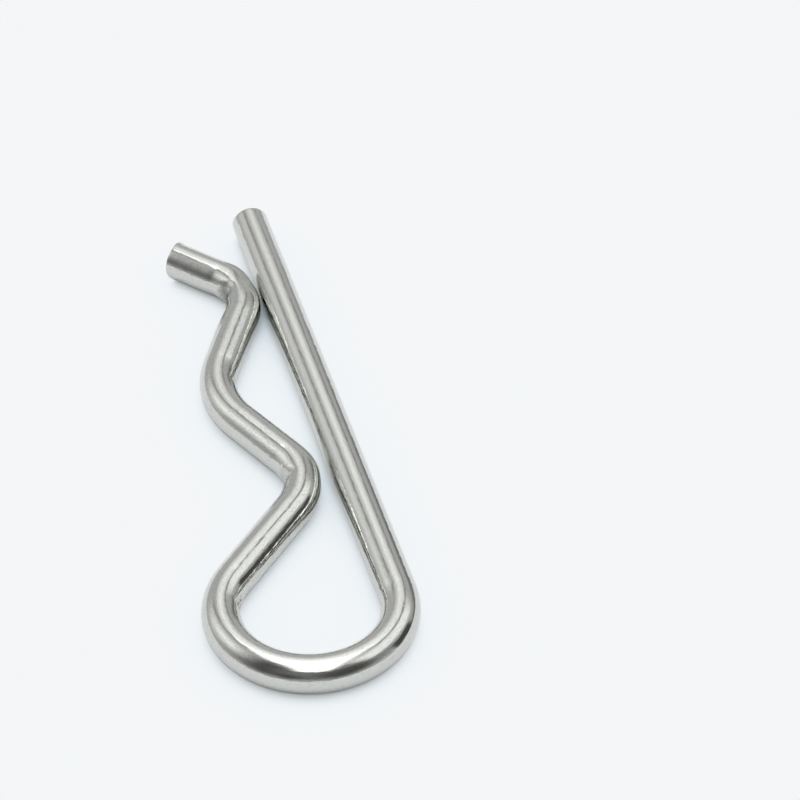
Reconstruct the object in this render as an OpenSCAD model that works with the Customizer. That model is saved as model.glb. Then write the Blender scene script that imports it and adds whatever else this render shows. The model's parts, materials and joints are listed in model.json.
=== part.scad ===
// Hitch R clip pin: one length of round spring wire, bent flat.
//
// The straight leg goes through a cross hole in a shaft. The crimped leg snaps round
// the outside of that shaft, and the bow between the two legs is the finger eye.
//
// The wire is led round four formers, which stand on its right and left by turns:
// eye, waist, seat and nip. Between two formers it runs straight, along the line
// that touches both, so a change of one size moves the bends and runs next to it.
//
// Frame: the straight leg's axis is the Y axis and its end points along +Y. The
// crimped leg lies on the -X side, and z = 0 is the middle of the wire.

/* [Wire] */
// Diameter of the round spring wire
wire_d = 4; // [3:0.1:4.6]
// How much thinner the wire is in a bend, where bending draws it down
draw_down = 0.04; // [0.02:0.01:0.1]
// Chamfer round the end of the straight leg, which finds the cross hole
lead_chamfer = 0.3; // [0.1:0.05:0.8]

/* [Finger eye] */
// Inside diameter of the eye that a finger pulls
eye_d = 13.8; // [11:0.2:18]

/* [Straight leg] */
// Length of the straight leg past the crest of the nip
leg_past_nip = 12.9; // [9:0.1:25]

/* [Waist] */
// Distance along the leg from the middle of the eye to the crest of the waist
waist_pitch = 19.4; // [17:0.1:26]
// Gap between the two legs at the waist
waist_gap = 1.1; // [0.3:0.05:2.5]
// Inside radius of the bend at the waist
waist_r = 5; // [3.5:0.1:6.5]

/* [Shaft seat] */
// Diameter of the shaft that the crimped leg snaps round
shaft_d = 16; // [13:0.5:19]
// Distance along the leg from the crest of the waist to the middle of the shaft
seat_pitch = 14.1; // [12.5:0.1:18]

/* [Nip] */
// Distance along the leg from the middle of the shaft to the crest of the nip
nip_pitch = 15.1; // [13.5:0.1:19]
// Gap between the two legs at the nip, which opens as the shaft goes through
nip_gap = 0.15; // [0.05:0.05:1.5]
// Inside radius of the bend at the nip
nip_r = 4.2; // [3:0.1:5.5]

/* [Flared tip] */
// Angle between the flared tip and the straight leg
flare_angle = 41; // [30:1:60]
// Straight length of the flared tip, which lifts the crimped leg over the shaft
flare_len = 5.7; // [4:0.1:12]

/* [Bending marks] */
// Radius of the bending tool's edge, which leaves a corner inside each bend
edge_r = 0.4; // [0.2:0.05:1]
// Depth of its mark inside the bow, near the crimped leg
eye_bite = 0.45; // [0.1:0.05:0.7]
// Angle round the bow from its middle to that mark
eye_mark = 86; // [75:1:95]
// Depth of its mark inside the waist
waist_bite = 0.65; // [0.1:0.05:0.9]
// Angle round the waist from its middle to that mark, towards the flared tip
waist_mark = 1; // [-6:1:6]
// Depth of its mark inside the shaft seat
seat_bite = 0.35; // [0.1:0.05:0.6]
// Angle round the seat from its middle to that mark, towards the flared tip
seat_mark = 9; // [-10:1:10]
// Depth of its mark inside the nip
nip_bite = 0.85; // [0.1:0.05:1]
// Angle round the nip from its middle to that mark, towards the flared tip
nip_mark = 0; // [-4:1:4]

/* [Hidden] */
$fn = 96;

// Degrees by which a bend runs on inside the straight wire at each of its ends
lap = 1;

// Degrees at which the flanks of the bending tool's edge meet the inside of a bend,
// and the number of flats that round the edge
flank_dip = 6;
edge_flats = 6;

// A former stands on the wire's right or on its left, as the wire comes down the
// straight leg, round the eye and up the crimped leg.
RIGHT = -1;
LEFT = 1;

// Radii of the wire's centre line in the four bends
wire_r = wire_d / 2;
eye_line_r = eye_d / 2 + wire_r;
waist_line_r = waist_r + wire_r;
seat_line_r = shaft_d / 2 + wire_r;
nip_line_r = nip_r + wire_r;

// Places along the straight leg
waist_y = waist_pitch;
seat_y = waist_y + seat_pitch;
nip_y = seat_y + nip_pitch;
leg_len = nip_y + leg_past_nip;

// Centres of the waist's and the nip's formers across the legs
waist_x = -wire_d - waist_gap - waist_line_r;
nip_x = -wire_d - nip_gap - nip_line_r;

// Each former: centre, radius of the centre line round it, side, mark's depth and place
eye = [[-eye_line_r, 0], eye_line_r, RIGHT, eye_bite, eye_mark];
waist = [[waist_x, waist_y], waist_line_r, LEFT, waist_bite, waist_mark];
seat = [[0, seat_y], seat_line_r, RIGHT, seat_bite, seat_mark];
nip = [[nip_x, nip_y], nip_line_r, LEFT, nip_bite, nip_mark];
formers = [eye, waist, seat, nip];
last = len(formers) - 1;

function centre(former) = former[0];
function line_r(former) = former[1];
function side(former) = former[2];
function bite(former) = former[3];
function mark(former) = former[4];

// Heading of the straight run that leaves one former and meets the next
function run_heading(from, to) =
    let (
        apart = centre(to) - centre(from),
        lean = asin((side(to) * line_r(to) - side(from) * line_r(from)) / norm(apart))
    )
    atan2(apart[1], apart[0]) - lean;

// Headings of the wire before, between and after the formers
leg_heading = -90;
tip_heading = 90 + flare_angle;
headings = [
    leg_heading,
    for (i = [0 : last - 1]) run_heading(formers[i], formers[i + 1]),
    tip_heading
];

// Direction from a former's centre to the wire, where the wire has a given heading
function wire_side(former, heading) = heading - side(former) * 90;

// Point of the centre line there
function line_point(former, heading) =
    let (direction = wire_side(former, heading))
    centre(former) + line_r(former) * [cos(direction), sin(direction)];

// Angle that the wire turns through on a former, between 0 and 360
function turned(former, heading_in, heading_out) =
    let (turn = side(former) * (heading_out - heading_in))
    turn - 360 * floor(turn / 360);

// A straight piece of wire from a point along a heading
module run(start, heading, length) {
    translate([start[0], start[1], 0])
        rotate([90, 0, heading + 90])
            cylinder(h = length, d = wire_d);
}

// The straight leg, from the bow to its chamfered end
module straight_leg() {
    run([0, 0], -leg_heading, leg_len - lead_chamfer);
    translate([0, leg_len - lead_chamfer, 0])
        rotate([-90, 0, 0])
            cylinder(h = lead_chamfer, d1 = wire_d, d2 = wire_d - 2 * lead_chamfer);
}

// The bending tool's edge at a bend's mark, drawn in the bend's own frame. Seen from
// above it is a wedge with a rounded point, whose flanks run back inside the former.
module tool_edge(former, turn) {
    inside_r = line_r(former) - wire_r;
    foot_r = inside_r * cos(flank_dip);
    point = [inside_r + bite(former) - edge_r, 0];
    lean = acos((foot_r - edge_r) / point[0]);
    flank_foot = foot_r * [cos(lean), sin(lean)];
    outline = [
        [0, 0],
        [flank_foot[0], -flank_foot[1]],
        for (i = [0 : edge_flats])
            let (a = lean * (2 * i / edge_flats - 1))
            point + edge_r * [cos(a), sin(a)],
        flank_foot
    ];
    rotate([0, 0, turn / 2 + side(former) * mark(former)])
        linear_extrude(height = 2 * wire_d, center = true)
            polygon(outline);
}

// The wire bent round a former, with the mark of the tool's edge on its inside
module bend(former, heading_in, heading_out) {
    turn = turned(former, heading_in, heading_out);
    first = side(former) == LEFT ? heading_in : heading_out;
    translate([centre(former)[0], centre(former)[1], 0])
        rotate([0, 0, wire_side(former, first)])
            difference() {
                rotate([0, 0, -lap])
                    rotate_extrude(angle = turn + 2 * lap)
                        translate([line_r(former), 0])
                            circle(d = wire_d - draw_down);
                tool_edge(former, turn);
            }
}

module r_clip() {
    color("silver") {
        straight_leg();
        for (i = [0 : last])
            bend(formers[i], headings[i], headings[i + 1]);
        for (i = [0 : last - 1]) {
            start = line_point(formers[i], headings[i + 1]);
            end = line_point(formers[i + 1], headings[i + 1]);
            run(start, headings[i + 1], norm(end - start));
        }
        run(line_point(nip, tip_heading), tip_heading, flare_len);
    }
}

r_clip();
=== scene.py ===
"""Hitch R clip pin of round spring wire, lying on a pale studio table.

The wire comes down the straight leg, goes round the finger eye and comes up the
crimped leg: waist, shaft seat, nip and flared tip. It is one surface of two
parameters, the length along the wire and the angle round it.

Frame: metres. The straight leg's axis is the Y axis and its end points along +Y. The
crimped leg lies on the -X side, and z = 0 is the middle of the wire.
"""

import json
import math
from dataclasses import dataclass

import bpy
import numpy as np
from mathutils import Matrix, Vector


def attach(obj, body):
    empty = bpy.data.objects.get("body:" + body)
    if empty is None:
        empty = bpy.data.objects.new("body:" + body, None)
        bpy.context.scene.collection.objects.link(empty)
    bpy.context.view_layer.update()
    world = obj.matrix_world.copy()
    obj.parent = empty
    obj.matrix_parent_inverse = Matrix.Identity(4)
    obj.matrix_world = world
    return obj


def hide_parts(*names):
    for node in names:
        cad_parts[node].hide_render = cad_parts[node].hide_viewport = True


bl_info = {
    "name": "Hitch R clip pin",
    "version": (1, 0, 0),
    "blender": (4, 5, 0),
    "location": "View3D > Sidebar > R clip",
    "description": "Builds the bent wire of an R clip pin and its studio table",
    "category": "Add Mesh",
}

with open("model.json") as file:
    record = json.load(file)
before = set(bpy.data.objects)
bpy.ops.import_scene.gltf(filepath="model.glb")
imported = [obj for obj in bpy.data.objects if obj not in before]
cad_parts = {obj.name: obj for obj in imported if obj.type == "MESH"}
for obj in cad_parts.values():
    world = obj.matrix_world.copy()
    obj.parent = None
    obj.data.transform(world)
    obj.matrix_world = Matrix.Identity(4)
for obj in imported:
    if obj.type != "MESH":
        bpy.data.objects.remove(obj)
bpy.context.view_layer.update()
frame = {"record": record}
MOUNTS = {mount["name"]: mount for mount in frame["record"]["mounts"]}

MM = 0.001
MICRON = 0.000001
RIGHT = -1
LEFT = 1


# ---------------------------------------------------------------- sizes and settings


def mount_size(name, size):
    """A length of the frame's mount, in metres."""
    return MOUNTS[name]["dims"][size] * MM


def length(name, description, default, smallest=0.0, largest=0.1):
    """A length that the panel shows in the scene's unit."""
    return bpy.props.FloatProperty(
        name=name,
        description=description,
        default=default,
        min=smallest,
        max=largest,
        precision=5,
        unit="LENGTH",
    )


def angle(name, description, degrees):
    """An angle of up to half a turn to either side."""
    return bpy.props.FloatProperty(
        name=name,
        description=description,
        default=math.radians(degrees),
        min=-math.pi,
        max=math.pi,
        subtype="ANGLE",
    )


def number(name, description, default, smallest=0.0, largest=4.0):
    """A plain number."""
    return bpy.props.FloatProperty(
        name=name, description=description, default=default, min=smallest, max=largest
    )


def share(name, description, default):
    """A number from nothing to the whole."""
    return bpy.props.FloatProperty(
        name=name,
        description=description,
        default=default,
        min=0.0,
        max=1.0,
        subtype="FACTOR",
    )


def colour(name, description, default):
    """A colour as red, green and blue parts of the light that it sends back."""
    return bpy.props.FloatVectorProperty(
        name=name,
        description=description,
        default=default,
        size=3,
        min=0.0,
        max=1.0,
        subtype="COLOR",
    )


class ClipSizes(bpy.types.PropertyGroup):
    """The sizes that the wire and its bends are worked out from"""

    wire_r: length("Wire radius", "Radius of the round wire", mount_size("straight_leg", "r_mm"))
    leg_len: length(
        "Straight leg",
        "Length of the straight leg past the bow",
        mount_size("straight_leg", "length_mm"),
    )
    eye_r: length("Eye radius", "Inside radius of the eye", mount_size("finger_eye", "r_mm"))
    seat_r: length("Seat radius", "Radius of the shaft", mount_size("shaft_seat", "r_mm"))
    seat_y: length(
        "Shaft place",
        "Distance along the leg from the bow to the shaft",
        MOUNTS["shaft_seat"]["pos_m"][1],
    )
    waist_y: length("Waist place", "Distance along the leg to the waist", 19.4 * MM)
    waist_gap: length("Waist gap", "Gap between the legs at the waist", 1.1 * MM)
    waist_r: length("Waist radius", "Inside radius of the waist", 5 * MM)
    nip_y: length("Nip place", "Distance along the leg to the nip", 48.6 * MM)
    nip_gap: length("Nip gap", "Gap between the legs at the nip", 0.15 * MM)
    nip_r: length("Nip radius", "Inside radius of the nip", 4.2 * MM)
    flare_len: length("Flared tip", "Straight length of the flared tip", 5.7 * MM)
    flare_angle: angle("Flare", "Angle between the flared tip and the straight leg", 41)
    draw_down: length("Draw down", "How much thinner the wire is in a bend", 0.04 * MM)
    lead_round: length("Lead rounding", "Rounding of the straight leg's end", 0.3 * MM)
    burr: length("Burr", "How far the sheared tip's lip stands out", 0.22 * MM)
    edge_r: length("Tool edge", "Radius of the bending tool's edge", 0.4 * MM)
    eye_bite: length("Eye mark", "Depth of the tool's mark inside the eye", 0.45 * MM)
    eye_mark: angle("Eye mark's place", "Angle from the eye's middle to its mark", 86)
    waist_bite: length("Waist mark", "Depth of the tool's mark inside the waist", 0.65 * MM)
    waist_mark: angle("Waist mark's place", "Angle from the waist's middle to its mark", 1)
    seat_bite: length("Seat mark", "Depth of the tool's mark inside the seat", 0.35 * MM)
    seat_mark: angle("Seat mark's place", "Angle from the seat's middle to its mark", 9)
    nip_bite: length("Nip mark", "Depth of the tool's mark inside the nip", 0.85 * MM)
    nip_mark: angle("Nip mark's place", "Angle from the nip's middle to its mark", 0)


class SteelFinish(bpy.types.PropertyGroup):
    """The bright drawn steel of the wire"""

    steel: colour("Steel", "Colour of the bright steel", (0.655, 0.665, 0.634))
    worn: colour("Worked steel", "Colour where a tool has rubbed the wire", (0.42, 0.42, 0.405))
    # Painted shade: the dark colour painted into the creases of the tool marks
    painted_shade_colour: colour("Soil", "Colour of the dark spots in the marks", (0.07, 0.065, 0.06))
    gloss_roughness: share("Roughness", "Roughness of the clean wire", 0.07)
    worked_roughness: share("Worked roughness", "Roughness added in bends and marks", 0.16)
    line_height: length("Draw lines", "Height of the lines along the wire", 1.1 * MICRON)
    scratch_height: length("Scratches", "Height of the short scratches", 20 * MICRON)
    pit_depth: length("Pits", "Depth of the small pits", 6 * MICRON)
    grain_height: length("Grain", "Height of the grain that bending raises", 2.2 * MICRON)
    speck_height: length("Specks", "Height of the specks towards the tip", 3.08 * MICRON)
    cloud_height: length("Clouds", "Height of the wire's broad unevenness", 6 * MICRON)


class StudioLook(bpy.types.PropertyGroup):
    """The table and the light round it"""

    table: colour("Table", "Colour of the table top", (0.905, 0.922, 0.939))
    shade: colour("Shade", "Tint of the shadows on the table", (0.74, 0.93, 1.0))
    table_light: number(
        "Table light",
        "Light that falls on the open table, where 1 shows its colour as it is",
        0.862,
        smallest=0.1,
    )
    level: number("Light", "Level of all the light", 1.0)


# ------------------------------------------------------------------ line of the wire


@dataclass
class Former:
    """A round tool that the wire is led round, and the mark that its edge leaves.

    The mark has a depth and an angle along the wire from the bend's middle.
    """

    name: str
    centre: tuple
    line_r: float
    side: int
    bite: float
    mark: float


@dataclass
class Stretch:
    """A straight run, or an arc round a former, along the wire's middle line."""

    start: np.ndarray
    heading: float
    length: float
    curvature: float
    former: Former
    spacing: float

    def line(self, along):
        """Points and headings at distances along the stretch.

        A run is start + along * direction. An arc of curvature k that starts with
        heading h has the heading h + k * along, and its points are the integral of
        that heading's direction: start + (sin(h + k a) - sin h, cos h - cos(h + k a)) / k.
        """
        headings = self.heading + self.curvature * along
        if self.curvature == 0:
            way = np.array([math.cos(self.heading), math.sin(self.heading)])
            return self.start + along[:, None] * way, headings
        moved = np.stack(
            [np.sin(headings) - math.sin(self.heading), math.cos(self.heading) - np.cos(headings)],
            axis=1,
        )
        return self.start + moved / self.curvature, headings

    def end(self):
        """Last point of the stretch and its heading."""
        points, headings = self.line(np.array([self.length]))
        return points[0], headings[0]


def formers_of(sizes):
    """The four formers in the order in which the wire meets them."""
    wire_d = 2 * sizes.wire_r
    eye_line_r = sizes.eye_r + sizes.wire_r
    waist_line_r = sizes.waist_r + sizes.wire_r
    seat_line_r = sizes.seat_r + sizes.wire_r
    nip_line_r = sizes.nip_r + sizes.wire_r
    waist_centre = (-wire_d - sizes.waist_gap - waist_line_r, sizes.waist_y)
    nip_centre = (-wire_d - sizes.nip_gap - nip_line_r, sizes.nip_y)
    return [
        Former("eye", (-eye_line_r, 0), eye_line_r, RIGHT, sizes.eye_bite, sizes.eye_mark),
        Former("waist", waist_centre, waist_line_r, LEFT, sizes.waist_bite, sizes.waist_mark),
        Former("seat", (0, sizes.seat_y), seat_line_r, RIGHT, sizes.seat_bite, sizes.seat_mark),
        Former("nip", nip_centre, nip_line_r, LEFT, sizes.nip_bite, sizes.nip_mark),
    ]


def run_heading(here, there):
    """Heading of the straight line that leaves one former and touches the next."""
    apart = np.subtract(there.centre, here.centre)
    step_out = there.side * there.line_r - here.side * here.line_r
    return math.atan2(apart[1], apart[0]) - math.asin(step_out / np.linalg.norm(apart))


RUN_SPACING = 0.32 * MM
EYE_SPACING = 0.13 * MM
BEND_SPACING = 0.085 * MM


def wire_stretches(sizes):
    """Runs and arcs from the straight leg's end to the flared tip's."""
    formers = formers_of(sizes)
    tip_heading = math.pi / 2 + sizes.flare_angle
    headings_out = [run_heading(a, b) for a, b in zip(formers, formers[1:])] + [tip_heading]
    leg_heading = -math.pi / 2
    leg_end = np.array([0.0, sizes.leg_len])
    stretches = [Stretch(leg_end, leg_heading, sizes.leg_len, 0, None, RUN_SPACING)]
    for place, (former, heading_out) in enumerate(zip(formers, headings_out)):
        start, heading = stretches[-1].end()
        turn = (former.side * (heading_out - heading)) % (2 * math.pi)
        curvature = former.side / former.line_r
        spacing = EYE_SPACING if former.name == "eye" else BEND_SPACING
        arc = Stretch(start, heading, turn * former.line_r, curvature, former, spacing)
        stretches.append(arc)
        start, heading = arc.end()
        if former is formers[-1]:
            run_len = sizes.flare_len
        else:
            apart = np.subtract(formers[place + 1].centre, former.centre)
            run_len = float(apart @ [math.cos(heading), math.sin(heading)])
        stretches.append(Stretch(start, heading, run_len, 0, None, RUN_SPACING))
    return stretches


# ------------------------------------------------------------------- spots on the wire


@dataclass
class Spot:
    """A place on a bend, and how far it reaches along the wire and round it.

    The place is a distance along the wire from the bend's middle, and an angle in
    degrees up from the bend's inside.
    """

    bend: str
    along: float
    lift: float
    reach: float
    width: float


@dataclass
class Dimple(Spot):
    """A small bump, or a dent where its height is negative, and how dark the painted shade on it
    is.
    """

    height: float
    soiled: float = 0


@dataclass
class Crumple(Spot):
    """A patch of small shallow bumps and dents that a tool has left beside its mark."""

    count: int
    height: float


# Swells, dents and a scratch near the tool marks, and painted shade in their creases
DIMPLES = [
    Dimple("nip", 2.2 * MM, 160, 1.6 * MM, 1.5 * MM, 0.20 * MM),
    Dimple("nip", 0.2 * MM, 118, 1.6 * MM, 1.2 * MM, -0.25 * MM),
    Dimple("nip", 0.9 * MM, 60, 0.50 * MM, 0.40 * MM, 0.06 * MM),
    Dimple("nip", -3.2 * MM, 12, 1.8 * MM, 1.3 * MM, -0.20 * MM),
    Dimple("nip", 2.6 * MM, -30, 1.8 * MM, 1.2 * MM, -0.08 * MM),
    Dimple("nip", 6.8 * MM, 68, 3.6 * MM, 0.50 * MM, 0.018 * MM),
    # These two change no height: they paint shade into the nip's crease
    Dimple("nip", -0.4 * MM, 6, 0.8 * MM, 1.6 * MM, 0, 0.50),
    Dimple("nip", 0.6 * MM, 18, 1.2 * MM, 1.4 * MM, 0, 0.45),
    Dimple("waist", 1.8 * MM, 165, 1.8 * MM, 1.4 * MM, 0.15 * MM),
    Dimple("waist", 0.9 * MM, 44, 0.45 * MM, 0.30 * MM, 0.05 * MM),
    Dimple("waist", -0.9 * MM, 46, 0.50 * MM, 0.32 * MM, 0.045 * MM),
    Dimple("seat", 1.4 * MM, 34, 0.40 * MM, 0.35 * MM, 0.04 * MM),
    # These two dents in the eye's inner corner also carry painted shade
    Dimple("eye", 14.4 * MM, 6, 0.22 * MM, 0.15 * MM, -0.05 * MM, 1.0),
    Dimple("eye", 13.6 * MM, 7, 0.38 * MM, 0.17 * MM, -0.03 * MM, 0.85),
    Dimple("eye", 9.8 * MM, 72, 0.09 * MM, 0.36 * MM, 0.014 * MM),
]

# Torn and rubbed patches beside the tool marks. Each bump of a patch draws its reach and
# width from one range, and its height as a multiple of the patch's height.
CRUMPLES = [
    Crumple("nip", 0.9 * MM, 50, 1.2 * MM, 0.40 * MM, 10, 0.014 * MM),
    Crumple("waist", 1.3 * MM, 24, 1.3 * MM, 0.9 * MM, 26, 0.022 * MM),
    Crumple("waist", -0.4 * MM, 48, 0.9 * MM, 0.35 * MM, 7, 0.020 * MM),
    Crumple("seat", 1.8 * MM, 34, 0.9 * MM, 0.35 * MM, 8, 0.020 * MM),
    Crumple("eye", 14.2 * MM, 16, 1.0 * MM, 0.5 * MM, 6, 0.005 * MM),
]
CRUMPLE_REACH = (0.12 * MM, 0.26 * MM)
CRUMPLE_HEIGHT = (0.5, 1.4)
CRUMPLE_SEED = 7


def crumpled(wire_r):
    """The bumps and dents of every patch, scattered evenly with a seeded draw."""
    draw = np.random.default_rng(CRUMPLE_SEED)
    dents = []
    for patch in CRUMPLES:
        for _ in range(patch.count):
            along = patch.along + patch.reach * draw.uniform(-1, 1)
            lift = patch.lift + math.degrees(patch.width / wire_r) * draw.uniform(-1, 1)
            reach, width = draw.uniform(*CRUMPLE_REACH, 2)
            height = patch.height * draw.uniform(*CRUMPLE_HEIGHT) * draw.choice([-1, 1])
            dents.append(Dimple(patch.bend, along, lift, reach, width, height))
    return dents


# --------------------------------------------------------------- surface of the wire

ROUND_STEPS = 96

# Rings on the flat face of an end, round the edge of the lead, and round the tip's rim.
# The body's own rings keep clear of an end by so many times its rounding.
FACE_RINGS = 7
LEAD_RINGS = 9
RIM_RINGS = 6
LEAD_CLEAR = 1.3
RIM_CLEAR = 1.6
TIP_RIM = 0.07 * MM

# Length to each side of a bend's end over which its change of thickness is eased, and
# how worked the whole bend is
BEND_EASE = 0.5 * MM
BEND_WORKED = 0.35


def smooth_step(value, low, high):
    """0 below low and 1 above high, with the cubic 3 t^2 - 2 t^3 between them."""
    t = np.clip((value - low) / (high - low), 0, 1)
    return t * t * (3 - 2 * t)


def turn_between(one, other):
    """The angle from the other direction to the one, from -pi to pi."""
    return np.angle(np.exp(1j * (one - other)))


class WireGrid:
    """Rings along the wire, with their middle points and headings, and steps round it."""

    def __init__(self, sizes):
        self.sizes = sizes
        self.stretches = wire_stretches(sizes)
        self.breaks = np.cumsum([0] + [s.length for s in self.stretches])
        self.total = self.breaks[-1]
        self.bends = {
            stretch.former.name: (start, stretch)
            for start, stretch in zip(self.breaks, self.stretches)
            if stretch.former
        }
        self.around = np.arange(ROUND_STEPS) * (2 * math.pi / ROUND_STEPS)
        self.along, self.inset = self.stations()
        self.middle, self.heading = self.line_at(self.along)
        self.bent = self.bent_at(self.along)

    def end_rings(self, rounding, edge_rings):
        """How far in from an end, and from the wire's surface, each ring of it lies.

        The rings grow over the flat face from its middle. They then go round the edge
        of radius r, where they lie r (1 - cos t) in from the end and r (1 - sin t) in
        from the surface.
        """
        wire_r = self.sizes.wire_r
        face = wire_r - (wire_r - rounding) * np.linspace(0, 1, FACE_RINGS + 2)[1:-1]
        turn = np.linspace(0, math.pi / 2, edge_rings)
        from_end = np.concatenate([np.zeros(FACE_RINGS), rounding * (1 - np.cos(turn))])
        inset = np.concatenate([face, rounding * (1 - np.sin(turn))])
        return from_end, inset

    def stations(self):
        """Distances along the wire, and how far each ring stands in from the surface."""
        lead = self.sizes.lead_round
        first, first_inset = self.end_rings(lead, LEAD_RINGS)
        last, last_inset = self.end_rings(TIP_RIM, RIM_RINGS)
        parts = [
            start + np.linspace(0, s.length, math.ceil(s.length / s.spacing), endpoint=False)
            for start, s in zip(self.breaks, self.stretches)
        ]
        body = np.concatenate(parts)
        body = body[(body > lead * LEAD_CLEAR) & (body < self.total - TIP_RIM * RIM_CLEAR)]
        along = np.concatenate([first, body, self.total - last[::-1]])
        inset = np.concatenate([first_inset, np.zeros(len(body)), last_inset[::-1]])
        return along, inset

    def line_at(self, along):
        """Middle points and headings at distances along the whole wire."""
        points = np.zeros((len(along), 2))
        headings = np.zeros(len(along))
        last = len(self.stretches) - 1
        which = np.clip(np.searchsorted(self.breaks, along, side="right") - 1, 0, last)
        for place, (start, stretch) in enumerate(zip(self.breaks, self.stretches)):
            here = which == place
            points[here], headings[here] = stretch.line(along[here] - start)
        return points, headings

    def bent_at(self, along):
        """1 in the bends and 0 in the runs, with an easy change at a bend's ends."""
        bent = np.zeros(len(along))
        for start, bend in self.bends.values():
            end = start + bend.length
            bent += smooth_step(along, start - BEND_EASE, start + BEND_EASE)
            bent -= smooth_step(along, end - BEND_EASE, end + BEND_EASE)
        return bent


def bump_over(grid, spot):
    """A bump of height 1, exp(-(u / reach)^2 - (v / width)^2).

    u is the distance along the wire from the spot, and v the distance round it.
    """
    start, bend = grid.bends[spot.bend]
    lift = math.radians(spot.lift)
    aim = lift if bend.former.side == LEFT else math.pi - lift
    off_along = (grid.along - start - bend.length / 2 - spot.along) / spot.reach
    off_round = turn_between(grid.around, aim) * grid.sizes.wire_r / spot.width
    return np.exp(-(off_along[:, None] ** 2) - off_round[None, :] ** 2)


def wire_surface(grid):
    """The wire's points, its points as if it were straight, its wear and its painted shade.

    A point is middle + r * (cos(a) * left + sin(a) * up), where r is the wire's radius
    less the ring's inset and the thinning in a bend, plus the bumps and dents. The tip's
    end is then cut askew, and the bending tool presses its mark into each bend. The
    wear is how much each place was worked, and the painted shade is how dark the creases
    of the marks are painted, each from 0 to 1.
    """
    sizes = grid.sizes
    radius = sizes.wire_r - grid.inset - 0.5 * sizes.draw_down * grid.bent
    radius = np.repeat(radius[:, None], ROUND_STEPS, axis=1)
    worked = np.repeat(BEND_WORKED * grid.bent[:, None], ROUND_STEPS, axis=1)
    soiled = np.zeros_like(worked)
    for dimple in DIMPLES + crumpled(sizes.wire_r):
        bump = bump_over(grid, dimple)
        radius += dimple.height * bump
        # Painted shade: how dark the creases and dents of the marks are painted
        soiled = np.maximum(soiled, dimple.soiled * bump)
    for patch in CRUMPLES:
        worked = np.maximum(worked, bump_over(grid, patch))
    across = radius[..., None] * np.stack([np.cos(grid.around), np.sin(grid.around)], axis=1)
    left = np.stack([-np.sin(grid.heading), np.cos(grid.heading)], axis=1)
    flat = grid.middle[:, None, :] + across[..., :1] * left[:, None, :]
    height = across[..., 1]
    lean_end(grid, flat, height)
    for start, bend in grid.bends.values():
        press_edge(grid, start, bend, flat, worked)
    height = np.clip(height, -sizes.wire_r, sizes.wire_r)
    points = np.concatenate([flat, height[..., None]], axis=2)
    along = np.repeat(grid.along[:, None, None], ROUND_STEPS, axis=1)
    straight = np.concatenate([along, across], axis=2)
    return points, straight, worked, soiled


# The sheared end of the tip leans over its last stretch. The lean is a share of the
# wire's radius, and so is the height that stays in place.
LEAN_REACH = 1.2 * MM
LEAN_SHARE = 0.09
LEAN_LINE = 0.3

# Its lip stands where height and outer side, each times its share, add up to more than a
# bound. Close to the end the lip's rim also spreads outwards, by a share of the lip, and
# what lies deeper in the wire than the inset stays.
LIP_HIGH = 0.8
LIP_OUTER = 0.6
LIP_BOUND = 0.55
RIM_REACH = 0.35 * MM
RIM_SPREAD = 0.6
RIM_INSET = 0.1 * MM


def lean_end(grid, flat, height):
    """The shear cuts the flared tip a little askew and leaves a lip on its upper edge.

    Each point near the end moves along the tip by a share of its height, and by the
    lip where it lies high on the outer side. The lip's rim also moves to that side.
    """
    sizes = grid.sizes
    near = smooth_step(grid.along, grid.total - LEAN_REACH, grid.total)[:, None]
    brink = smooth_step(grid.along, grid.total - RIM_REACH, grid.total)[:, None]
    way = np.array([math.cos(grid.heading[-1]), math.sin(grid.heading[-1])])
    out = np.array([way[1], -way[0]])
    high = height / sizes.wire_r
    outer = (flat - grid.middle[:, None, :]) @ out / sizes.wire_r
    lip = sizes.burr * smooth_step(LIP_HIGH * high + LIP_OUTER * outer, LIP_BOUND, 1.0)
    lean = LEAN_SHARE * sizes.wire_r * (high - LEAN_LINE)
    rim = (grid.inset < RIM_INSET)[:, None]
    flat += (near * (lip + lean))[..., None] * way
    flat += (RIM_SPREAD * brink * lip * rim)[..., None] * out


# The wedge of the bending tool: the angle at which its flanks meet the inside of a bend,
# the angle over which it fades out towards its foot, the growth of its edge's radius
# towards the top of the wire, and the width over which its border is eased
FLANK_DIP = math.radians(6)
FOOT_FADE = math.radians(6)
EDGE_SPREAD = 2.5 * MM
EDGE_BLEND = 0.05 * MM

# In each bend, the share of the mark's depth that the wedge keeps as it follows the
# wire's surface up, the power by which that share fades, and the reach over which the
# metal softens the mark
CORNER_SHARE = {"eye": 0.85, "waist": 0.75, "seat": 0.8, "nip": 0.75}
CORNER_FADE = {"eye": 5, "waist": 1.3, "seat": 3, "nip": 1}
CORNER_SOFT = {"eye": 0.18 * MM, "waist": 0.12 * MM, "seat": 0.12 * MM, "nip": 0.55 * MM}

# How far a mark reaches along the wire, how far inward from the wire's top it sets in,
# as a share of the radius, and the pushes that leave the steel unworked and fully worked
MARK_REACH = 5 * MM
INSIDE_FADE = 0.15
WORKING_PUSH = (0.02 * MM, 0.2 * MM)

# Length that every ring stands for beyond its own, since the rings of an end's face
# share one place
LEAST_SPACE = 0.001 * MM


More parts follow.
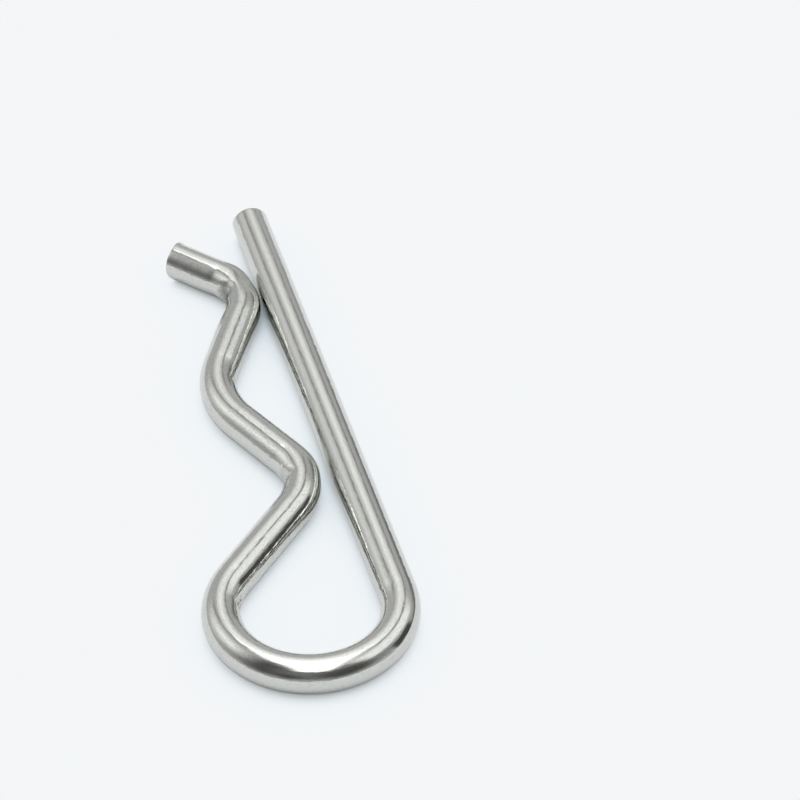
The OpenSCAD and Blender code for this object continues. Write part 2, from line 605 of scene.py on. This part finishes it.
def tool_wedge(sizes, former, inward, ahead, across):
    """Distance of each place from the tool's wedge, its way out and the wedge's angle.

    Seen from above, the wedge has a rounded point. At the wire's middle height the
    point stands the mark's depth inside the bend. Towards the top of the wire it
    follows the surface, grows rounder and comes to nothing, so that the crease fades
    out. The distance is negative inside the wedge. The way out is the wedge's normal,
    as a part away from the former and a part aside.
    """
    inside_r = former.line_r - sizes.wire_r * inward
    bite_left = CORNER_SHARE[former.name] * inward ** CORNER_FADE[former.name] * former.bite
    follows = sizes.wire_r * (1 - inward) + bite_left
    tip_r = former.line_r - sizes.wire_r + np.maximum(former.bite, follows)
    edge_r = sizes.edge_r + EDGE_SPREAD * (1 - inward)
    middle_r = tip_r - edge_r
    half_angle = np.arccos(np.minimum((inside_r * math.cos(FLANK_DIP) - edge_r) / middle_r, 1))
    ahead = ahead - middle_r
    beside = np.abs(across)
    on_flank = beside * np.cos(half_angle) > ahead * np.sin(half_angle)
    from_edge = np.hypot(ahead, beside)
    from_flank = ahead * np.cos(half_angle) + beside * np.sin(half_angle)
    distance = np.where(on_flank, from_flank, from_edge) - edge_r
    away = np.where(on_flank, np.cos(half_angle), ahead / from_edge)
    aside = np.where(on_flank, np.sin(half_angle), beside / from_edge) * np.sign(across)
    return distance, away, aside, half_angle


def press_edge(grid, start, bend, flat, worked):
    """Presses the bending tool's edge into the inside of a bend.

    A point of the wire at the distance -d inside the tool's wedge moves out along the
    wedge's normal by d, and the change at the wedge's border is eased over a small
    width e by (e - distance)^2 / 4 e. The push fades out towards the wedge's foot, and
    the metal evens out what is left of it with the places near by.
    """
    former = bend.former
    place = bend.length / 2 + former.mark * former.line_r
    under_mark, _ = bend.line(np.array([place]))
    outward = (under_mark[0] - former.centre) / former.line_r
    sideways = np.array([-outward[1], outward[0]])
    inward = np.clip(former.side * np.cos(grid.around), 0, 1)
    offset = flat - np.array(former.centre)
    ahead = offset @ outward
    across = offset @ sideways
    distance, away, aside, half_angle = tool_wedge(grid.sizes, former, inward, ahead, across)
    eased = (EDGE_BLEND - np.clip(distance, -EDGE_BLEND, EDGE_BLEND)) ** 2 / (4 * EDGE_BLEND)
    push = np.where(distance < -EDGE_BLEND, -distance, eased)
    push *= smooth_step(half_angle - np.abs(np.arctan2(across, ahead)), 0, FOOT_FADE)
    push *= np.abs(grid.along - start - place)[:, None] < MARK_REACH
    push *= smooth_step(inward, 0, INSIDE_FADE)
    shift = push[..., None] * (away[..., None] * outward + aside[..., None] * sideways)
    flat += softened(grid, CORNER_SOFT[former.name], shift)
    worked[:] = np.maximum(worked, smooth_step(push, *WORKING_PUSH))


def softened(grid, reach, shift):
    """The shifts averaged with their neighbours, along the wire and then round it.

    A neighbour's weight is exp(-(distance / reach)^2) times the length it stands for.
    """
    apart = (grid.along[:, None] - grid.along[None, :]) / reach
    weights = np.exp(-(apart**2)) * (np.gradient(grid.along) + LEAST_SPACE)[None, :]
    weights /= weights.sum(axis=1, keepdims=True)
    shift = np.einsum("ij,jkl->ikl", weights, shift, optimize=True)
    apart = turn_between(grid.around[:, None], grid.around[None, :]) * grid.sizes.wire_r / reach
    weights = np.exp(-(apart**2))
    weights /= weights.sum(axis=1, keepdims=True)
    return np.einsum("kj,ijl->ikl", weights, shift, optimize=True)


def tube_mesh(name, points, straight, worked, soiled):
    """A closed tube from a grid of points, with the wire's own coordinates on it.

    Faces join each ring to the next, the last column to the first, and a point in the
    middle of each end closes it.
    """
    rings, steps = points.shape[:2]
    poles = np.array([points[0].mean(axis=0), points[-1].mean(axis=0)])
    vertices = np.concatenate([points.reshape(-1, 3), poles])
    ring = np.arange(rings - 1)[:, None] * steps
    step = np.arange(steps)
    ahead = (step + 1) % steps
    quads = np.stack([ring + step, ring + ahead, ring + steps + ahead, ring + steps + step], axis=2)
    first_pole = np.full(steps, rings * steps)
    last_ring = (rings - 1) * steps
    first_fan = np.stack([ahead, step, first_pole], axis=1)
    last_fan = np.stack([last_ring + step, last_ring + ahead, first_pole + 1], axis=1)
    faces = quads.reshape(-1, 4).tolist() + first_fan.tolist() + last_fan.tolist()
    mesh = bpy.data.meshes.new(name)
    mesh.from_pydata(vertices.tolist(), [], faces)
    mesh.shade_smooth()
    wire = mesh.attributes.new("straight_wire", "FLOAT_VECTOR", "POINT")
    ends = np.array([straight[0].mean(axis=0), straight[-1].mean(axis=0)])
    values = np.concatenate([straight.reshape(-1, 3), ends]) / MM
    wire.data.foreach_set("vector", values.astype(np.float32).ravel())
    for kind, amount in (("worked", worked), ("soiled", soiled)):
        shares = mesh.attributes.new(kind, "FLOAT", "POINT")
        values = np.concatenate([amount.ravel(), [0, 0]])
        shares.data.foreach_set("value", values.astype(np.float32))
    mesh.update()
    return mesh


# --------------------------------------------------------------------- shader maths


class Signal:
    """An output of a shader node that takes part in sums as a number does."""

    def __init__(self, tree, socket=None):
        self.tree = tree
        self.socket = socket

    def node(self, kind, settings=None, inputs=None, output=0):
        """Adds a node: its settings come first, then the values or links of its inputs."""
        made = self.tree.nodes.new(kind)
        for name, value in (settings or {}).items():
            setattr(made, name, value)
        for key, value in (inputs or {}).items():
            if isinstance(value, Signal):
                self.tree.links.new(value.socket, made.inputs[key])
            else:
                made.inputs[key].default_value = value
        return Signal(self.tree, made.outputs[output]) if made.outputs else None

    def maths(self, operation, *values, clamp=False):
        """What an operation makes of numbers and of other outputs."""
        settings = {"operation": operation, "use_clamp": clamp}
        return self.node("ShaderNodeMath", settings, dict(enumerate(values)))

    def __add__(self, other):
        return self.maths("ADD", self, other)

    __radd__ = __add__

    def __sub__(self, other):
        return self.maths("SUBTRACT", self, other)

    def __rsub__(self, other):
        return self.maths("SUBTRACT", other, self)

    def __mul__(self, other):
        return self.maths("MULTIPLY", self, other)

    __rmul__ = __mul__

    def __truediv__(self, other):
        return self.maths("DIVIDE", self, other)

    def __rtruediv__(self, other):
        return self.maths("DIVIDE", other, self)

    def __abs__(self):
        return self.maths("ABSOLUTE", self)

    def step(self, low, high):
        """0 below low, 1 above high, and smooth between them."""
        settings = {"interpolation_type": "SMOOTHSTEP"}
        inputs = {"Value": self, "From Min": low, "From Max": high}
        return self.node("ShaderNodeMapRange", settings, inputs)

    def scaled(self, factors):
        """A vector multiplied by three factors."""
        return self.node("ShaderNodeVectorMath", {"operation": "MULTIPLY"}, {0: self, 1: factors})

    def dot(self, axis):
        """The part of a vector that lies along an axis of length 1."""
        settings = {"operation": "DOT_PRODUCT"}
        return self.node("ShaderNodeVectorMath", settings, {0: self, 1: axis}, output="Value")

    def noise(self, detail, roughness):
        """Noise of about one cell to a unit of this vector, from 0 to 1."""
        inputs = {"Vector": self, "Scale": 1.0, "Detail": detail, "Roughness": roughness}
        return self.node("ShaderNodeTexNoise", {"noise_dimensions": "3D"}, inputs)


def mixed(factor, first, second):
    """A colour between two others, by the node's inputs and output for colours."""
    settings = {"data_type": "RGBA", "blend_type": "MIX"}
    return factor.node("ShaderNodeMix", settings, {0: factor, 6: first, 7: second}, output=2)


def opaque(values):
    """A colour with full alpha."""
    return (*values, 1.0)


def emptied(owner):
    """The empty node tree of a material or a world, ready for its first node."""
    owner.use_nodes = True
    owner.node_tree.nodes.clear()
    return Signal(owner.node_tree)


# ------------------------------------------------------------------------ materials


@dataclass
class Pattern:
    """Noise on the wire, with its number of cells to a millimetre along and across.

    What the pattern marks comes to show between two levels of the noise.
    """

    along: float
    across: float
    detail: float
    roughness: float
    shows: tuple = None

    def on(self, wire):
        """The noise at the wire's own coordinates."""
        cells = wire.scaled((self.along, self.across, self.across))
        return cells.noise(self.detail, self.roughness)


FINE_LINES = Pattern(0.035, 7.0, 3.0, 0.6)
BROAD_LINES = Pattern(0.02, 1.9, 2.0, 0.5, shows=(0.35, 0.75))
SCRATCHES = Pattern(1.0, 6.0, 1.0, 0.5, shows=(0.58, 0.78))
CLOUDS = Pattern(0.25, 0.5, 3.0, 0.55)
GRAIN = Pattern(3.2, 5.5, 3.0, 0.6, shows=(0.34, 0.68))
SPECKS = Pattern(4.2, 6.5, 2.0, 0.6, shows=(0.5, 0.68))
PIT_PATCHES = Pattern(0.35, 0.9, 2.0, 0.5, shows=(0.5, 0.62))

# Cells of the pits to a millimetre, and the distances from a pit's middle at which its
# floor ends and its rim ends
PIT_CELLS = (1.1, 2.2, 2.2)
PIT_EDGE = (0.05, 0.16)

# How worked a place is where rubbing sets in and where it is full, the same for the
# painted shade in the creases of the marks, and the distances along the wire, in
# millimetres, over which the scuffs set in
RUB_SHOWS = (0.4, 0.9)
PAINTED_SHADE_SHOWS = (0.1, 0.7)
SCUFFS_SET_IN = (15.0, 100.0)

# How many times higher the broad lines are than the fine ones
BROAD_TO_FINE = 3.0

# Share of the worn colour that each kind of mark takes on
RUB_WORN = 0.7
PIT_WORN = 0.5
LINE_WORN = 0.07
SCRATCH_WORN = 0.16
SPECK_WORN = 0.46

# Roughness that the fine lines and the pits add, and the share of the worked roughness
# that comes without rubbing
LINE_ROUGHNESS = 0.10
PIT_ROUGHNESS = 0.2
UNRUBBED = 0.5


def spring_steel(finish):
    """Bright drawn steel with fine lines along it, small pits, scratches and scuffs.

    Grain and rub show in the bends, and painted shade darkens the creases of the marks.
    The patterns read the wire's own coordinates, as if it were straight: millimetres
    along it and across it, so lines run along the wire and turn with its bends.
    """
    material = bpy.data.materials.new("spring_steel")
    start = emptied(material)
    wire = start.node(
        "ShaderNodeAttribute", {"attribute_name": "straight_wire"}, output="Vector"
    )
    worked = start.node("ShaderNodeAttribute", {"attribute_name": "worked"}, output="Fac")
    soiled = start.node("ShaderNodeAttribute", {"attribute_name": "soiled"}, output="Fac")
    fine_lines = FINE_LINES.on(wire)
    broad_lines = BROAD_LINES.on(wire)
    scratches = SCRATCHES.on(wire)
    clouds = CLOUDS.on(wire)
    grain = GRAIN.on(wire)
    specks = SPECKS.on(wire)
    scuffed = wire.dot((1.0, 0.0, 0.0)).step(*SCUFFS_SET_IN)
    from_pit = wire.node(
        "ShaderNodeTexVoronoi",
        {"feature": "F1", "voronoi_dimensions": "3D"},
        {"Vector": wire.scaled(PIT_CELLS), "Scale": 1.0, "Randomness": 1.0},
        output="Distance",
    )
    pits = (1 - from_pit.step(*PIT_EDGE)) * PIT_PATCHES.on(wire).step(*PIT_PATCHES.shows)
    rub = worked.step(*RUB_SHOWS) * grain.step(*GRAIN.shows)

    lines = (fine_lines - 0.5) + (broad_lines - 0.5) * BROAD_TO_FINE
    height = (
        lines * (finish.line_height / MICRON)
        + (scratches - 0.5) * clouds * (1 - worked) * (finish.scratch_height / MICRON)
        + (grain - 0.5) * worked * (finish.grain_height / MICRON)
        + (specks - 0.5) * scuffed * (finish.speck_height / MICRON)
        - pits * (finish.pit_depth / MICRON)
        + (clouds - 0.5) * (finish.cloud_height / MICRON)
    )
    bump = start.node(
        "ShaderNodeBump", None, {"Strength": 1.0, "Distance": MICRON, "Height": height}
    )
    wear = [
        rub * RUB_WORN + pits * PIT_WORN,
        broad_lines.step(*BROAD_LINES.shows) * LINE_WORN,
        scratches.step(*SCRATCHES.shows) * SCRATCH_WORN,
        specks.step(*SPECKS.shows) * scuffed * SPECK_WORN,
    ]
    base = opaque(finish.steel)
    for worn_share in wear:
        base = mixed(worn_share, base, opaque(finish.worn))
    # Painted shade: the creases of the marks are darkened with the dark colour
    base = mixed(soiled.step(*PAINTED_SHADE_SHOWS), base, opaque(finish.painted_shade_colour))
    roughness = (
        finish.gloss_roughness
        + (fine_lines - 0.5) * LINE_ROUGHNESS
        + worked * finish.worked_roughness * UNRUBBED
        + rub * finish.worked_roughness
        + pits * PIT_ROUGHNESS
    )
    inputs = {"Base Color": base, "Metallic": 1.0, "Roughness": roughness, "Normal": bump}
    steel = start.node("ShaderNodeBsdfPrincipled", None, inputs)
    start.node("ShaderNodeOutputMaterial", None, {"Surface": steel})
    return material


SHADE_REACH = 60 * MM
SHADE_SAMPLES = 24


def table_top(look):
    """A plain pale table top with no gloss.

    The camera sees its own colour where the table lies open to the sky, and the light
    that falls on it where the clip closes it in, so that it reads as pale as it is and
    its shadows stay close to the wire.
    """
    material = bpy.data.materials.new("table_top")
    start = emptied(material)
    shown = start.node("ShaderNodeLightPath", output="Is Camera Ray")
    settings = {"samples": SHADE_SAMPLES}
    inputs = {"Distance": SHADE_REACH}
    closed = 1 - start.node("ShaderNodeAmbientOcclusion", settings, inputs, output="AO")
    lit_colour = [part / look.table_light for part in look.table]
    shaded_colour = [part * tint for part, tint in zip(lit_colour, look.shade)]
    inputs = {"Color": opaque(look.table), "Strength": 1.0}
    open_table = start.node("ShaderNodeEmission", None, inputs)
    shaded = start.node("ShaderNodeBsdfDiffuse", None, {"Color": opaque(shaded_colour)})
    seen = start.node("ShaderNodeMixShader", None, {0: closed * closed, 1: open_table, 2: shaded})
    lit = start.node("ShaderNodeBsdfDiffuse", None, {"Color": opaque(lit_colour)})
    both = start.node("ShaderNodeMixShader", None, {0: shown, 1: lit, 2: seen})
    start.node("ShaderNodeOutputMaterial", None, {"Surface": both})
    return material


# --------------------------------------------------------------------------- studio


def direction(azimuth, elevation):
    """Direction at an azimuth from +Y towards +X and an elevation above the table."""
    return np.array(
        [
            math.sin(azimuth) * math.cos(elevation),
            math.cos(azimuth) * math.cos(elevation),
            math.sin(elevation),
        ]
    )


# Least distance ahead at which a direction is followed onto a panel's plane
LEAST_AHEAD = 0.001


@dataclass
class Panel:
    """A lit or dark panel of the studio, as seen from the table.

    Azimuth is from +Y towards +X and elevation above the table, in degrees. The half
    sizes and the soft edge are lengths on a plane that stands one unit away.
    """

    azimuth: float
    elevation: float
    roll: float
    half_width: float
    half_height: float
    edge: float
    level: float

    def axes(self):
        """Directions to the panel's middle, along its width and along its height."""
        azimuth, elevation, roll = map(math.radians, (self.azimuth, self.elevation, self.roll))
        middle = direction(azimuth, elevation)
        level_side = np.array([math.cos(azimuth), -math.sin(azimuth), 0.0])
        level_up = np.cross(level_side, middle)
        side = level_side * math.cos(roll) + level_up * math.sin(roll)
        up = level_up * math.cos(roll) - level_side * math.sin(roll)
        return middle, side, up

    def cover(self, way):
        """1 where a direction meets the panel and 0 elsewhere, with a soft edge."""
        middle, side, up = self.axes()
        ahead = way.dot(middle)
        depth = ahead.maths("MAXIMUM", ahead, LEAST_AHEAD)
        inside = ahead.maths("GREATER_THAN", ahead, 0.0)
        for axis, half_size in ((side, self.half_width), (up, self.half_height)):
            off = abs(way.dot(axis)) / depth
            inside = inside * (1 - off.step(half_size - self.edge / 2, half_size + self.edge / 2))
        return inside


# A later panel covers the earlier ones where they overlap.
PANELS = [
    # Soft boxes overhead, on the right and on the left
    Panel(4, 87, -83, 0.66, 0.24, 0.28, 3.20),
    Panel(84, 50, 28, 0.53, 0.28, 0.33, 1.22),
    Panel(-60, 40, 49, 0.22, 0.47, 0.82, 1.42),
    # Dark openings on the left and at the front
    Panel(-111, 43, -15, 0.28, 0.66, 0.73, 0.09),
    Panel(159, 30, -15, 0.40, 0.34, 0.46, 0.09),
    Panel(-143, 23, -128, 0.17, 0.18, 0.38, 0.08),
    # Soft box at the far end, with a narrow dark post on each side
    Panel(16, 52, -47, 0.22, 0.31, 0.56, 1.33),
    Panel(-22, 45, -1, 0.05, 0.28, 0.08, 0.40),
    Panel(41, 46, -23, 0.05, 0.40, 0.08, 0.36),
    # Dark things low down on the right
    Panel(72, 2, 0, 0.56, 0.10, 0.12, 0.16),
    Panel(52, 6, 0, 0.18, 0.16, 0.20, 0.22),
    Panel(94, 10, 0, 0.25, 0.25, 0.12, 0.08),
]

# Light of the tent's walls: at its far end, at its open front and low down all round,
# with the azimuth of the far end and the height at which the low light ends
FAR_WALL = 0.576
NEAR_WALL = 0.175
LOW_WALL = 0.57
FAR_AZIMUTH = math.radians(15)
LOW_WALL_TOP = 0.35
BACKDROP = (0.93, 0.94, 0.95)
LIGHT_MAP_SIZE = 1024


def studio_light(look):
    """A pale tent with soft boxes overhead and at the sides, and its dark open front.

    The walls grow darker towards the open front. Each panel then replaces the walls
    where a direction meets its rectangle. The camera itself sees a plain pale backdrop.
    """
    world = bpy.data.worlds.new("studio")
    bpy.context.scene.world = world
    start = emptied(world)
    way = start.node("ShaderNodeTexCoord", output="Generated")
    far = way.dot(direction(FAR_AZIMUTH, 0.0)) * 0.5 + 0.5
    walls = far * (FAR_WALL - NEAR_WALL) + NEAR_WALL
    height = way.dot((0.0, 0.0, 1.0))
    low = 1 - height.maths("DIVIDE", height, LOW_WALL_TOP, clamp=True)
    light = walls + (LOW_WALL - walls) * low
    for panel in PANELS:
        light = light + (panel.level - light) * panel.cover(way)
    shown = start.node("ShaderNodeLightPath", output="Is Camera Ray")
    inputs = {"Color": (1.0, 1.0, 1.0, 1.0), "Strength": light * look.level}
    lit = start.node("ShaderNodeBackground", None, inputs)
    plain = start.node("ShaderNodeBackground", None, {"Color": opaque(BACKDROP), "Strength": 1.0})
    both = start.node("ShaderNodeMixShader", None, {0: shown, 1: lit, 2: plain})
    start.node("ShaderNodeOutputWorld", None, {"Surface": both})
    world.cycles.sampling_method = "MANUAL"
    world.cycles.sample_map_resolution = LIGHT_MAP_SIZE


# The camera stands at a distance from the point that it aims at. Its lens and its
# sensor's width are in millimetres.
CAMERA_AZIMUTH = math.radians(15.233)
CAMERA_ELEVATION = math.radians(41.327)
CAMERA_ROLL = math.radians(0.537)
CAMERA_AIM = (8.009 * MM, 27.847 * MM, 0.0)
CAMERA_DISTANCE = 394.26 * MM
CAMERA_LENS = 168.6
CAMERA_SENSOR = 36
CAMERA_NEAREST = 0.01
CAMERA_FARTHEST = 10


def add_camera():
    """The camera looks down on the clip from the bow's side."""
    data = bpy.data.cameras.new("camera")
    data.lens = CAMERA_LENS
    data.sensor_width = CAMERA_SENSOR
    data.clip_start = CAMERA_NEAREST
    data.clip_end = CAMERA_FARTHEST
    camera = bpy.data.objects.new("camera", data)
    bpy.context.scene.collection.objects.link(camera)
    ahead = Vector(direction(CAMERA_AZIMUTH, -CAMERA_ELEVATION))
    turn = ahead.to_track_quat("-Z", "Y").to_matrix() @ Matrix.Rotation(-CAMERA_ROLL, 3, "Z")
    place = Vector(CAMERA_AIM) - CAMERA_DISTANCE * ahead
    camera.matrix_world = Matrix.Translation(place) @ turn.to_4x4()
    bpy.context.scene.camera = camera


# ------------------------------------------------------------------ operators, panel

TABLE_HALF_SIZE = 0.6


def add_piece(name, mesh, material):
    """Puts a finished mesh into the scene, at the origin."""
    piece = bpy.data.objects.new(name, mesh)
    bpy.context.scene.collection.objects.link(piece)
    mesh.materials.append(material)
    return piece


class RCLIP_OT_wire(bpy.types.Operator):
    """Bend the wire of the clip and give it its bright steel"""

    bl_idname = "rclip.wire"
    bl_label = "Bend the wire"

    def execute(self, context):
        scene = context.scene
        grid = WireGrid(scene.clip_sizes)
        mesh = tube_mesh("bent_wire", *wire_surface(grid))
        wire = add_piece("bent_wire", mesh, spring_steel(scene.steel_finish))
        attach(wire, "root")
        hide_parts("r_clip")
        return {"FINISHED"}


class RCLIP_OT_studio(bpy.types.Operator):
    """Set the table, the light and the camera"""

    bl_idname = "rclip.studio"
    bl_label = "Set the table"

    def execute(self, context):
        scene = context.scene
        half = TABLE_HALF_SIZE
        top = -scene.clip_sizes.wire_r
        corners = [(-half, -half, top), (half, -half, top), (half, half, top), (-half, half, top)]
        mesh = bpy.data.meshes.new("table")
        mesh.from_pydata(corners, [], [(0, 1, 2, 3)])
        table = add_piece("table", mesh, table_top(scene.studio_look))
        studio_light(scene.studio_look)
        add_camera()
        scene.view_settings.view_transform = "Standard"
        return {"FINISHED"}


class RCLIP_PT_panel(bpy.types.Panel):
    """Lists the steps that build the clip and its sizes"""

    bl_idname = "RCLIP_PT_panel"
    bl_label = "R clip pin"
    bl_space_type = "VIEW_3D"
    bl_region_type = "UI"
    bl_category = "R clip"

    def draw(self, context):
        for step in STEPS:
            self.layout.operator(step.bl_idname)
        for name, kind in GROUPS.items():
            box = self.layout.box()
            for setting in kind.__annotations__:
                box.prop(getattr(context.scene, name), setting)


GROUPS = {"clip_sizes": ClipSizes, "steel_finish": SteelFinish, "studio_look": StudioLook}
STEPS = (RCLIP_OT_wire, RCLIP_OT_studio)


def register():
    """Adds the settings, the steps and the panel to the program."""
    for kind in (*GROUPS.values(), *STEPS, RCLIP_PT_panel):
        bpy.utils.register_class(kind)
    for name, group in GROUPS.items():
        setattr(bpy.types.Scene, name, bpy.props.PointerProperty(type=group))


def unregister():
    """Takes them out again."""
    for name in GROUPS:
        delattr(bpy.types.Scene, name)
    for kind in (RCLIP_PT_panel, *reversed(STEPS), *reversed(GROUPS.values())):
        bpy.utils.unregister_class(kind)


def main():
    """Builds the clip and its studio."""
    register()
    bpy.ops.rclip.wire()
    bpy.ops.rclip.studio()


if __name__ == "__main__":
    main()
